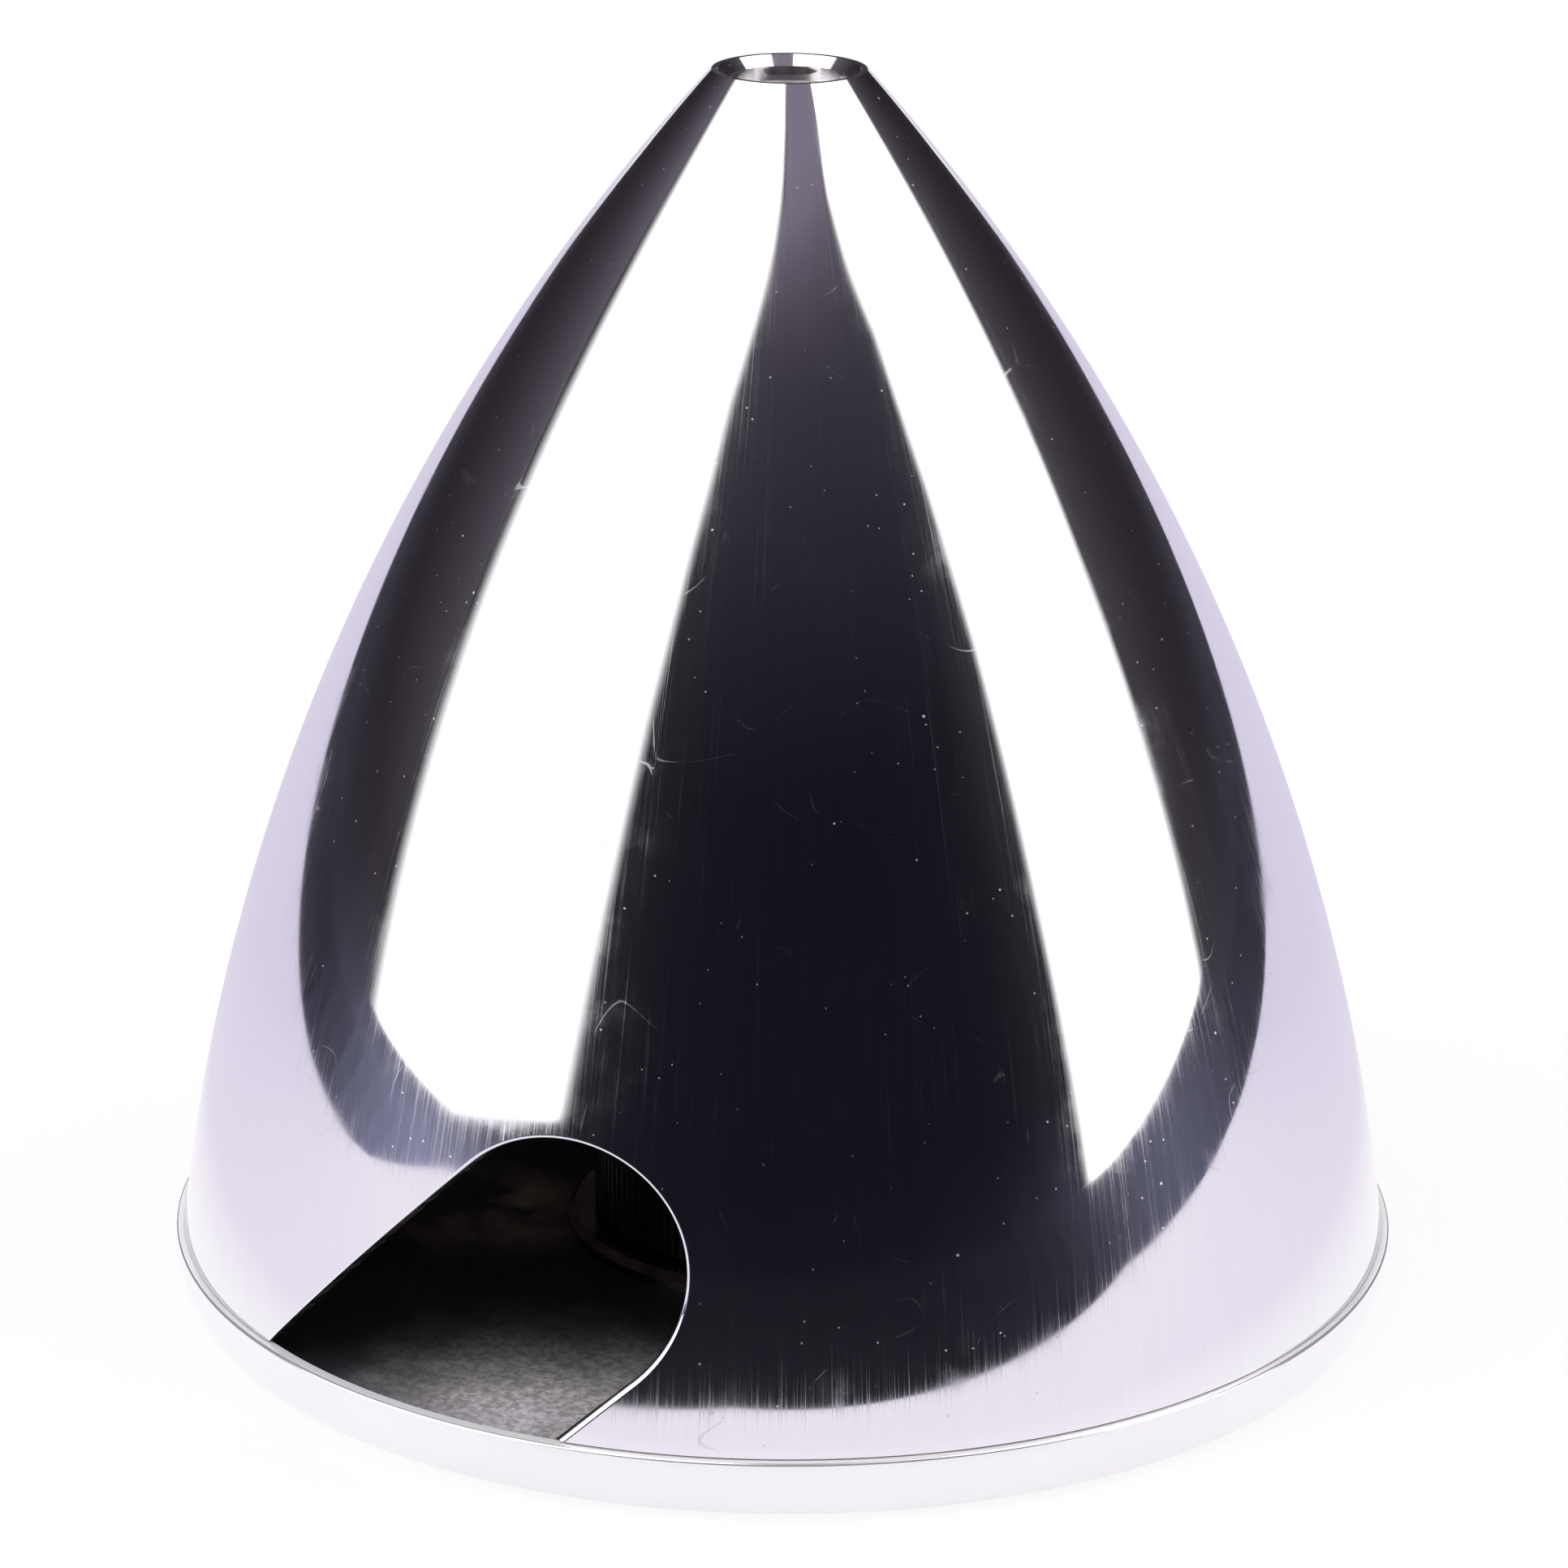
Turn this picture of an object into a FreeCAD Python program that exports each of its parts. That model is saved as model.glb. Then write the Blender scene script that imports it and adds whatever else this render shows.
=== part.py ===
import FreeCAD, Part
import math
import os
import Sketcher

# Propeller spinner, 76 mm (3 inch), for a two-blade propeller. Millimetres.
#
# The polished cone stands on the rim of the backplate and is drawn down onto it by one long
# cap screw, which runs from the nose into the adapter nut. The nut goes on the end of the
# engine's shaft. The propeller is clamped between the knurled drive collar and the prop washer,
# and its two blades leave the cone through the slanted slots. Here no propeller is fitted, so
# the washer and the nut are run down onto the collar.
#
# Frame: the origin is the centre of the backplate's rear face. +Z runs up the axis to the nose.
# The blade slots face -Y and +Y.

SIZES = {
    # Backplate
    "spinner_diameter": 76.0,      # across the widest part of the backplate's crowned rim
    "rim_height": 3.5,             # from the rear face to the ledge that the cone stands on
    "rim_crown_radius": 5.0,       # curve of the rim's outside, seen in section
    "rim_crown_height": 2.8,       # where the rim is widest, above the rear face
    "rim_edge_round": 0.25,        # rounding of the rim's two outer corners
    "rim_step": 0.52,              # how far the rim stands proud of the foot of the cone
    "recess_depth": 1.0,           # from the ledge down to the blasted floor
    "boss_radius": 13.5,           # raised pad under the drive collar, level with the ledge
    "boss_bevel": 0.45,
    "hub_land_radius": 15.0,       # rear face that bears on the engine's drive washer
    "rear_rim_width": 4.5,         # width of the rear face left round the rim
    "rear_relief_depth": 0.8,      # shallow turned ring between those two faces

    # Cone
    "cone_height": 72.1,           # from the ledge to the rim of the nose
    "cone_arc_radius": 134.6,      # the outside is one arc, swung about the axis
    "cone_wall": 1.2,              # at the ends of the tapers that the inside is bored to
    "bore_tapers": 4,
    "shoulder_width": 0.3,         # the part of the cone's foot that bears on the ledge
    "spigot_depth": 0.9,           # lip under the shoulder that centres the cone in the recess
    "spigot_clearance": 0.05,
    "nose_rim_radius": 4.6,
    "nose_mouth_radius": 4.25,
    "nose_bevel_depth": 0.6,       # polished bevel that leads into the counterbore
    "nose_floor_thickness": 4.0,   # metal under the screw's head

    # Blade slots, cut square to the axis by a round cutter
    "slot_count": 2,
    "slot_width": 15.4,
    "slot_angle": 45.0,            # lean of the slot away from the axis
    "slot_end_offset": 8.7,        # centre of the round end, sideways from the axis
    "slot_end_height": 9.4,        # the same centre, above the ledge
    "slot_edge_bevel": 0.24,       # where a slot breaks through the outside

    # Drive collar
    "collar_radius": 11.8,         # over the tips of the knurl
    "collar_height": 5.0,
    "collar_bevel": 0.35,
    "knurl_count": 120,
    "knurl_depth": 0.3,

    # Shaft bush and shaft
    "bush_radius": 6.0,
    "shaft_radius": 4.0,
    "bush_clearance": 0.03,
    "bush_bevel": 0.3,

    # Prop washer
    "washer_radius": 9.0,
    "washer_bore_radius": 4.2,
    "washer_thickness": 2.0,

    # Adapter nut
    "nut_across_flats": 13.0,
    "nut_hex_height": 8.0,
    "nut_neck_radius": 4.5,
    "nut_neck_height": 8.0,
    "nut_crown_radius": 6.2,       # flat end of the hexagon, inside the bevel of its corners
    "nut_bevel_angle": 30.0,
    "nut_thread_radius": 3.4,      # core of the M8 thread for the shaft
    "nut_thread_depth": 7.0,

    # Nose screw, M4 with a socket head
    "screw_radius": 2.0,
    "screw_engagement": 6.45,      # thread of the screw that is in the nut
    "screw_hole_clearance": 0.25,
    "screw_head_radius": 3.5,
    "screw_head_height": 4.0,
    "screw_head_clearance": 0.15,
    "screw_head_sink": 1.55,       # from the rim of the nose down to the head
    "screw_head_bevel": 0.3,
    "screw_socket_across_flats": 3.0,
    "screw_socket_depth": 2.0,
    "screw_tip_bevel": 0.4,
    "tap_clearance": 0.03,         # between the screw and the tapped hole in the nut
    "tap_spare_depth": 1.0,        # room left under the tip of the screw
}

document = FreeCAD.newDocument("propeller_spinner")
sheet = document.addObject("Spreadsheet::Sheet", "sizes")
for row, (alias, size) in enumerate(SIZES.items(), start=1):
    sheet.set(f"A{row}", str(size))
    sheet.setAlias(f"A{row}", alias)
document.recompute()


def value(expression):
    """The number that an expression on the sheet gives."""
    return float(sheet.evalExpression(expression))


# Sizes that follow from the sheet, as expressions, each written once.
RIM_RADIUS = "sizes.spinner_diameter / 2"
CONE_FOOT_RADIUS = f"({RIM_RADIUS} - sizes.rim_step)"
RECESS_RADIUS = f"({CONE_FOOT_RADIUS} - sizes.shoulder_width)"
SPIGOT_RADIUS = f"({RECESS_RADIUS} - sizes.spigot_clearance)"
BUSH_BORE_RADIUS = "(sizes.bush_radius + sizes.bush_clearance)"
COLLAR_TOP = "(sizes.rim_height + sizes.collar_height)"
WASHER_TOP = f"({COLLAR_TOP} + sizes.washer_thickness)"
NUT_HEIGHT = "(sizes.nut_hex_height + sizes.nut_neck_height)"
NUT_TOP = f"({WASHER_TOP} + {NUT_HEIGHT})"
NOSE_TOP = "(sizes.rim_height + sizes.cone_height)"
SCREW_SEAT = f"({NOSE_TOP} - sizes.screw_head_sink - sizes.screw_head_height)"
SCREW_LENGTH = f"({SCREW_SEAT} - {NUT_TOP} + sizes.screw_engagement)"
COUNTERBORE_RADIUS = "(sizes.screw_head_radius + sizes.screw_head_clearance)"
SCREW_HOLE_RADIUS = "(sizes.screw_radius + sizes.screw_hole_clearance)"

# The centre of the cone's arc, from the level of the ledge. It lies beyond the axis, square to
# the middle of the chord from the foot of the cone to the rim of its nose.
CHORD_ACROSS = f"({CONE_FOOT_RADIUS} - sizes.nose_rim_radius)"
CHORD = f"sqrt({CHORD_ACROSS} ^ 2 + sizes.cone_height ^ 2)"
CHORD_TO_CENTRE = f"sqrt(sizes.cone_arc_radius ^ 2 - ({CHORD} / 2) ^ 2)"
ARC_ACROSS = (f"(({CONE_FOOT_RADIUS} + sizes.nose_rim_radius) / 2"
              f" - {CHORD_TO_CENTRE} * sizes.cone_height / {CHORD})")
ARC_UP = f"(sizes.cone_height / 2 - {CHORD_TO_CENTRE} * {CHORD_ACROSS} / {CHORD})"

START, END, CENTRE = 1, 2, 3       # the points of a sketch's line or arc
ORIGIN = (-1, 1)                   # the sketch's own origin
NEAR = 0.01                        # two heights closer than this are the same
NOTHING = 1e-6                     # a smaller volume than this is no change


def new_body(name, height="0"):
    """An empty body whose own origin stands on the axis, at a height on the finished part."""
    body = document.addObject("PartDesign::Body", name)
    body.Label = name
    body.setExpression("Placement.Base.z", height)
    return body


def origin_feature(body, role):
    """One of the body's own planes or axes."""
    return next(item for item in body.Origin.OriginFeatures if item.Role == role)


def new_sketch(body, name, plane="XZ_Plane", height="0"):
    """A sketch on one of the body's planes, moved out along that plane's normal."""
    sketch = body.newObject("Sketcher::SketchObject", name)
    sketch.AttachmentSupport = (origin_feature(body, plane), [""])
    sketch.MapMode = "FlatFace"
    sketch.setExpression("AttachmentOffset.Base.z", height)
    return sketch


def bind(sketch, kind, places, expression):
    """A dimension of the sketch that follows the sheet."""
    index = sketch.addConstraint(Sketcher.Constraint(kind, *places, value(expression)))
    sketch.setExpression(f"Constraints[{index}]", expression)


def pin(sketch, place, across=None, up=None):
    """Hold a point of the sketch at a place that follows the sheet."""
    if across is not None:
        bind(sketch, "DistanceX", (*ORIGIN, *place), across)
    if up is not None:
        bind(sketch, "DistanceY", (*ORIGIN, *place), up)


def point(across, up):
    return FreeCAD.Vector(value(across), value(up), 0)


def join(sketch, places):
    """Make the end of each piece of an outline meet the start of the next one."""
    for (edge, place), (next_edge, next_place) in places:
        sketch.addConstraint(Sketcher.Constraint("Coincident", edge, place, next_edge, next_place))


def outline(sketch, corners):
    """A closed outline of straight lines through corners given as (across, up)."""
    count = len(corners)
    first = sketch.GeometryCount
    for number in range(count):
        line = Part.LineSegment(point(*corners[number]), point(*corners[(number + 1) % count]))
        sketch.addGeometry(line)
    join(sketch, [((first + number, END), (first + (number + 1) % count, START))
                  for number in range(count)])
    for number, (across, up) in enumerate(corners):
        pin(sketch, (first + number, START), across, up)


def circle(sketch, radius):
    """A circle about the sketch's origin."""
    ring = Part.Circle(FreeCAD.Vector(0, 0, 0), FreeCAD.Vector(0, 0, 1), value(radius))
    index = sketch.addGeometry(ring)
    sketch.addConstraint(Sketcher.Constraint("Coincident", index, CENTRE, *ORIGIN))
    bind(sketch, "Radius", (index,), radius)


def hexagon(sketch, across_flats):
    """A hexagon about the sketch's origin with two corners on the sketch's X axis."""
    corner = f"({across_flats} / sqrt(3))"
    corners = [(f"{corner} * cos({angle})", f"{corner} * sin({angle})") for angle in range(0, 360, 60)]
    outline(sketch, corners)


def revolve(body, sketch, kind="Revolution"):
    """Turn a half section about the body's axis, to add metal or, as a Groove, to take it away."""
    turned = body.newObject(f"PartDesign::{kind}", f"{sketch.Name}_turned")
    turned.Profile = (sketch, [""])
    turned.ReferenceAxis = (sketch, ["V_Axis"])
    turned.Angle = 360
    body.Tip = turned
    return turned


def extrude(body, sketch, length, kind="Pad", reverse=False):
    """Push a flat outline along its normal. A Pocket cuts against the normal unless reversed."""
    pushed = body.newObject(f"PartDesign::{kind}", f"{sketch.Name}_pushed")
    pushed.Profile = (sketch, [""])
    pushed.Reversed = reverse
    pushed.setExpression("Length", length)
    body.Tip = pushed
    return pushed


def repeat(body, feature, count):
    """Repeat a cut evenly about the body's axis."""
    pattern = body.newObject("PartDesign::PolarPattern", f"{feature.Name}_repeated")
    pattern.Originals = [feature]
    pattern.Axis = (origin_feature(body, "Z_Axis"), [""])
    pattern.Angle = 360
    pattern.setExpression("Occurrences", count)
    body.Tip = pattern
    return pattern


def bevel(body, base, edges, size):
    """Bevel named edges of the body as it stands."""
    cut = body.newObject("PartDesign::Chamfer", f"{base.Name}_bevelled")
    cut.Base = (base, edges)
    cut.setExpression("Size", size)
    body.Tip = cut
    return cut


def rim_centres():
    """Centres of the arcs up the rim's outside: lower corner, crown and upper corner."""
    crown_across = f"({RIM_RADIUS} - sizes.rim_crown_radius)"
    crown_up = "sizes.rim_crown_height"
    inset = "(sizes.rim_crown_radius - sizes.rim_edge_round)"
    lower_up = "sizes.rim_edge_round"
    upper_up = "(sizes.rim_height - sizes.rim_edge_round)"
    lower_across = f"({crown_across} + sqrt({inset} ^ 2 - ({crown_up} - {lower_up}) ^ 2))"
    upper_across = f"({crown_across} + sqrt({inset} ^ 2 - ({upper_up} - {crown_up}) ^ 2))"
    return (lower_across, lower_up), (crown_across, crown_up), (upper_across, upper_up)


def rim_arcs(sketch, rear_face, ledge):
    """The rim's crown between its two rounded corners, from the rear face up to the ledge."""
    lower, crown, upper = rim_centres()

    def heading(end):
        return math.atan2(value(end[1]) - value(crown[1]), value(end[0]) - value(crown[0]))

    # A corner's arc meets the crown on the line through both centres.
    bends = [
        (lower, "sizes.rim_edge_round", -math.pi / 2, heading(lower)),
        (crown, "sizes.rim_crown_radius", heading(lower), heading(upper)),
        (upper, "sizes.rim_edge_round", heading(upper), math.pi / 2),
    ]
    arcs = []
    for centre, radius, start, end in bends:
        ring = Part.Circle(point(*centre), FreeCAD.Vector(0, 0, 1), value(radius))
        arcs.append(sketch.addGeometry(Part.ArcOfCircle(ring, start, end)))
        bind(sketch, "Radius", (arcs[-1],), radius)
    pin(sketch, (arcs[1], CENTRE), *crown)
    path = [rear_face, *arcs, ledge]
    for one, other in zip(path, path[1:]):
        sketch.addConstraint(Sketcher.Constraint("Tangent", one, END, other, START))


def make_backplate():
    """Turned plate with a crowned rim, a shallow recess for the cone and a raised boss."""
    body = new_body("backplate")
    sketch = new_sketch(body, "backplate_section")
    floor = "(sizes.rim_height - sizes.recess_depth)"
    rear_rim = f"({RIM_RADIUS} - sizes.rear_rim_width)"
    lower, _, upper = rim_centres()
    corners = [
        (upper[0], "sizes.rim_height"),
        (RECESS_RADIUS, "sizes.rim_height"),
        (RECESS_RADIUS, floor),
        ("sizes.boss_radius", floor),
        ("sizes.boss_radius", "sizes.rim_height - sizes.boss_bevel"),
        ("sizes.boss_radius - sizes.boss_bevel", "sizes.rim_height"),
        (BUSH_BORE_RADIUS, "sizes.rim_height"),
        (BUSH_BORE_RADIUS, "0"),
        ("sizes.hub_land_radius", "0"),
        ("sizes.hub_land_radius", "sizes.rear_relief_depth"),
        (rear_rim, "sizes.rear_relief_depth"),
        (rear_rim, "0"),
        (lower[0], "0"),
    ]
    lines = [sketch.addGeometry(Part.LineSegment(point(*one), point(*other)))
             for one, other in zip(corners, corners[1:])]
    join(sketch, [((one, END), (other, START)) for one, other in zip(lines, lines[1:])])
    for line, corner in zip(lines[1:], corners[1:]):
        pin(sketch, (line, START), *corner)
    pin(sketch, (lines[0], START), up="sizes.rim_height")
    pin(sketch, (lines[-1], END), up="0")
    rim_arcs(sketch, lines[-1], lines[0])
    revolve(body, sketch)
    return body


def bore_radius(height):
    """Radius of the arc that the corners of the cone's inside lie on, at a height."""
    inner_arc = "(sizes.cone_arc_radius - sizes.cone_wall)"
    return f"({ARC_ACROSS} + sqrt({inner_arc} ^ 2 - ({height} - {ARC_UP}) ^ 2))"


def cone_section(sketch):
    """Half section of the cone's wall. Its origin is at the level of the ledge."""
    seat = f"({SCREW_SEAT} - sizes.rim_height)"
    nose_floor = f"({seat} - sizes.nose_floor_thickness)"
    tapers = int(value("sizes.bore_tapers"))
    inside = [f"({nose_floor} * {number} / {tapers})" for number in range(tapers, -1, -1)]
    lip = "-sizes.spigot_depth"
    corners = [
        ("sizes.nose_rim_radius", "sizes.cone_height"),
        ("sizes.nose_mouth_radius", "sizes.cone_height"),
        (COUNTERBORE_RADIUS, "sizes.cone_height - sizes.nose_bevel_depth"),
        (COUNTERBORE_RADIUS, seat),
        (SCREW_HOLE_RADIUS, seat),
        (SCREW_HOLE_RADIUS, nose_floor),
        *[(bore_radius(height), height) for height in inside],
        (bore_radius("0"), lip),
        (SPIGOT_RADIUS, lip),
        (SPIGOT_RADIUS, "0"),
        (CONE_FOOT_RADIUS, "0"),
    ]
    lines = [sketch.addGeometry(Part.LineSegment(point(*one), point(*other)))
             for one, other in zip(corners, corners[1:])]
    join(sketch, [((one, END), (other, START)) for one, other in zip(lines, lines[1:])])
    for line, corner in zip(lines, corners):
        pin(sketch, (line, START), *corner)
    pin(sketch, (lines[-1], END), *corners[-1])

    # The outside, one arc from the foot up to the rim of the nose.
    centre = point(ARC_ACROSS, ARC_UP)
    ends = [point(*corners[-1]) - centre, point(*corners[0]) - centre]
    ring = Part.Circle(centre, FreeCAD.Vector(0, 0, 1), value("sizes.cone_arc_radius"))
    arc = sketch.addGeometry(Part.ArcOfCircle(ring, *[math.atan2(end.y, end.x) for end in ends]))
    join(sketch, [((lines[-1], END), (arc, START)), ((arc, END), (lines[0], START))])
    bind(sketch, "Radius", (arc,), "sizes.cone_arc_radius")


def slot_outline(sketch):
    """A blade slot: a round end, and two flanks that lean down to below the spigot."""
    reach = "(-2 * sizes.spigot_depth)"
    half = "(sizes.slot_width / 2)"
    lean = "sizes.slot_angle"
    across, up = "sizes.slot_end_offset", "sizes.slot_end_height"
    upper = (f"{across} - {half} * cos({lean})", f"{up} + {half} * sin({lean})")
    lower = (f"{across} + {half} * cos({lean})", f"{up} - {half} * sin({lean})")
    upper_foot = (f"{upper[0]} - ({upper[1]} - {reach}) * tan({lean})", reach)
    lower_foot = (f"{lower[0]} - ({lower[1]} - {reach}) * tan({lean})", reach)
    path = [point(*corner) for corner in (upper, upper_foot, lower_foot, lower)]
    lines = [sketch.addGeometry(Part.LineSegment(*ends)) for ends in zip(path, path[1:])]
    centre = point(across, up)
    round_end = Part.Circle(centre, FreeCAD.Vector(0, 0, 1), value(half))
    low_end = math.radians(-value(lean))
    arc = sketch.addGeometry(Part.ArcOfCircle(round_end, low_end, low_end + math.pi))
    join(sketch, [((0, END), (1, START)), ((1, END), (2, START)), ((2, END), (arc, START)),
                  ((arc, END), (0, START))])
    pin(sketch, (arc, CENTRE), across, up)
    pin(sketch, (lines[0], START), *upper)
    pin(sketch, (lines[1], START), *upper_foot)
    pin(sketch, (lines[2], START), *lower_foot)
    pin(sketch, (lines[2], END), up=lower[1])


def slot_edges(shape):
    """Names of the edges where the blade slots break through the outside of the cone."""
    found = []
    outside = max(shape.Faces, key=lambda face: face.Area)
    for number, edge in enumerate(shape.Edges, start=1):
        on_outside = any(edge.isSame(other) for other in outside.Edges)
        points = edge.discretize(5)
        level = max(spot.z for spot in points) - min(spot.z for spot in points) < NEAR
        on_seam = max(abs(spot.y) for spot in points) < NEAR
        if on_outside and not level and not on_seam:
            found.append(f"Edge{number}")
    return found


def make_cone():
    """Polished cone, turned with a spigot, a counterbored nose and two slanted blade slots."""
    body = new_body("spinner_cone", "sizes.rim_height")
    section = new_sketch(body, "cone_section")
    cone_section(section)
    turned = revolve(body, section)
    slot = new_sketch(body, "slot_outline")
    slot_outline(slot)
    cut = extrude(body, slot, RIM_RADIUS, kind="Pocket", reverse=True)
    slots = repeat(body, cut, "sizes.slot_count")
    document.recompute()
    bevel(body, slots, slot_edges(slots.Shape), "sizes.slot_edge_bevel")
    return body


def make_collar():
    """Drive collar: a band with a straight knurl, between two plain bevelled ends."""
    body = new_body("drive_collar", "sizes.rim_height")
    sketch = new_sketch(body, "collar_section")
    tip, end, top = "sizes.collar_radius", "sizes.collar_bevel", "sizes.collar_height"
    outline(sketch, [
        (BUSH_BORE_RADIUS, "0"),
        (f"{tip} - 2 * {end}", "0"),
        (f"{tip} - {end}", end),
        (tip, end),
        (tip, f"{top} - {end}"),
        (f"{tip} - {end}", f"{top} - {end}"),
        (f"{tip} - 2 * {end}", top),
        (BUSH_BORE_RADIUS, top),
    ])
    revolve(body, sketch)
    groove = new_sketch(body, "knurl_groove", plane="XY_Plane")
    half_pitch = "(180 / sizes.knurl_count)"
    outer = f"({tip} + sizes.knurl_depth)"
    outline(groove, [
        (f"{tip} - sizes.knurl_depth", "0"),
        (f"{outer} * cos({half_pitch})", f"{outer} * sin({half_pitch})"),
        (f"{outer} * cos({half_pitch})", f"-{outer} * sin({half_pitch})"),
    ])
    cut = extrude(body, groove, top, kind="Pocket", reverse=True)
    repeat(body, cut, "sizes.knurl_count")
    return body


def make_bush():
    """Sleeve that brings the bore of the backplate and collar down to the shaft."""
    body = new_body("shaft_bush")
    sketch = new_sketch(body, "bush_section")
    bevel = "sizes.bush_bevel"
    outline(sketch, [
        ("sizes.shaft_radius", "0"),
        (f"sizes.bush_radius - {bevel}", "0"),
        ("sizes.bush_radius", bevel),
        ("sizes.bush_radius", f"{COLLAR_TOP} - {bevel}"),
        (f"sizes.bush_radius - {bevel}", COLLAR_TOP),
        ("sizes.shaft_radius", COLLAR_TOP),
    ])
    revolve(body, sketch)
    return body


def make_washer():
    """Thick washer under the adapter nut."""
    body = new_body("prop_washer", COLLAR_TOP)
    sketch = new_sketch(body, "washer_outline", plane="XY_Plane")
    circle(sketch, "sizes.washer_radius")
    circle(sketch, "sizes.washer_bore_radius")
    extrude(body, sketch, "sizes.washer_thickness")
    return body


def make_nut():
    """Adapter nut: a hexagon for the shaft's thread and a neck tapped for the nose screw."""
    body = new_body("adapter_nut", WASHER_TOP)
    flats = new_sketch(body, "nut_hexagon", plane="XY_Plane")
    hexagon(flats, "sizes.nut_across_flats")
    extrude(body, flats, "sizes.nut_hex_height")
    neck = new_sketch(body, "nut_neck", plane="XY_Plane")
    circle(neck, "sizes.nut_neck_radius")
    extrude(body, neck, NUT_HEIGHT)

    # The corners of the hexagon, turned off at the end away from the washer.
    crown, beyond = "sizes.nut_crown_radius", "sizes.nut_across_flats"
    corners = new_sketch(body, "nut_corners")
    outline(corners, [
        (crown, "sizes.nut_hex_height"),
        (beyond, "sizes.nut_hex_height"),
        (beyond, f"sizes.nut_hex_height - ({beyond} - {crown}) * tan(sizes.nut_bevel_angle)"),
    ])
    revolve(body, corners, kind="Groove")

    # Blind holes from both ends, with a web of metal between them.
    tap_radius = "(sizes.screw_radius + sizes.tap_clearance)"
    tap_floor = f"({NUT_HEIGHT} - sizes.screw_engagement - sizes.tap_spare_depth)"
    bores = new_sketch(body, "nut_bores")
    outline(bores, [
        ("0", "0"),
        ("sizes.nut_thread_radius", "0"),
        ("sizes.nut_thread_radius", "sizes.nut_thread_depth"),
        ("0", "sizes.nut_thread_depth"),
    ])
    revolve(body, bores, kind="Groove")
    tap = new_sketch(body, "nut_tap")
    outline(tap, [
        ("0", tap_floor),
        (tap_radius, tap_floor),
        (tap_radius, NUT_HEIGHT),
        ("0", NUT_HEIGHT),
    ])
    revolve(body, tap, kind="Groove")
    return body


def make_screw():
    """Socket-head cap screw. Its origin is under the head, with the shank below."""
    body = new_body("nose_screw", SCREW_SEAT)
    sketch = new_sketch(body, "screw_section")
    head, head_bevel = "sizes.screw_head_radius", "sizes.screw_head_bevel"
    shank, tip_bevel = "sizes.screw_radius", "sizes.screw_tip_bevel"
    outline(sketch, [
        ("0", f"-{SCREW_LENGTH}"),
        (f"{shank} - {tip_bevel}", f"-{SCREW_LENGTH}"),
        (shank, f"{tip_bevel} - {SCREW_LENGTH}"),
        (shank, "0"),
        (head, "0"),
        (head, f"sizes.screw_head_height - {head_bevel}"),
        (f"{head} - {head_bevel}", "sizes.screw_head_height"),
        ("0", "sizes.screw_head_height"),
    ])
    revolve(body, sketch)
    socket = new_sketch(body, "screw_socket", plane="XY_Plane", height="sizes.screw_head_height")
    hexagon(socket, "sizes.screw_socket_across_flats")
    extrude(body, socket, "sizes.screw_socket_depth", kind="Pocket")
    return body


def check(parts):
    """Stop if any feature failed, or if a part is empty, broken or in more than one piece."""
    for item in document.Objects:
        if "Invalid" in item.State or "Error" in item.State:
            raise RuntimeError(f"{item.Name} failed: {item.State}")
    for body in parts:
        shape = body.Shape
        if shape.isNull() or not shape.isValid() or len(shape.Solids) != 1:
            raise RuntimeError(f"{body.Label} is not one valid solid")
        steps = [item for item in body.Group if item.isDerivedFrom("PartDesign::Feature")]
        for before, after in zip(steps, steps[1:]):
            if abs(after.Shape.Volume - before.Shape.Volume) < NOTHING:
                raise RuntimeError(f"{after.Name} changes nothing")


parts = [
    make_backplate(),
    make_cone(),
    make_collar(),
    make_bush(),
    make_washer(),
    make_nut(),
    make_screw(),
]
document.recompute()
check(parts)

os.makedirs("parts", exist_ok=True)
for body in parts:
    body.Shape.exportStep(f"parts/{body.Label}.step")
    box = body.Shape.optimalBoundingBox(False)
    print(f"{body.Label}: z {box.ZMin:.2f} to {box.ZMax:.2f}, {box.XLength:.2f} across,"
          f" {body.Shape.Volume:.0f} cubic mm")
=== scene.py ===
import math

import bpy
from mathutils import Matrix, Vector
from mathutils.geometry import delaunay_2d_cdt


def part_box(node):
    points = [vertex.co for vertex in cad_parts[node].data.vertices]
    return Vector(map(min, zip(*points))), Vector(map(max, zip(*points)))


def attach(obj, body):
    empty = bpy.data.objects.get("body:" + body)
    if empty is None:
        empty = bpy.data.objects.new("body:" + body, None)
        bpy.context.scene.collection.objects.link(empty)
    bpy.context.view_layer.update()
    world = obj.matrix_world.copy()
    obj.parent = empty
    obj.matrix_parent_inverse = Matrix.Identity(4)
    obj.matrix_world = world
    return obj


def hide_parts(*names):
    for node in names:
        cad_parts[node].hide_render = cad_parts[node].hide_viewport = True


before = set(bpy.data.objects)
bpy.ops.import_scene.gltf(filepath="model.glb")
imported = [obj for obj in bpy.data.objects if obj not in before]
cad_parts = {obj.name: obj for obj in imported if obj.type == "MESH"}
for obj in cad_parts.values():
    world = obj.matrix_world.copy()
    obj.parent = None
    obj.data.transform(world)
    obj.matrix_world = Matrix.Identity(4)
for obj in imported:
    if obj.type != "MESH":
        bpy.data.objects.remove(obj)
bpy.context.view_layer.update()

# Looks of the propeller spinner: the mirror-polished cone and its slots, the satin backplate with
# its blasted floor, and the finishes of the pieces inside. Metres, +Z up the axis to the nose.
# The blade slots face -Y and +Y.

MM = 0.001


# ---------------------------------------------------------------- sizes read from the parts in model.glb

cone_low, cone_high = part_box("spinner_cone")
plate_low, plate_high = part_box("backplate")
_, screw_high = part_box("nose_screw")

LEDGE = plate_high[2]                               # the cone stands on the backplate here
NOSE_TOP = cone_high[2]
FOOT_RADIUS = (cone_high[0] - cone_low[0]) / 2
RIM_RADIUS = (plate_high[0] - plate_low[0]) / 2
SPIGOT_BOTTOM = cone_low[2]

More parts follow.
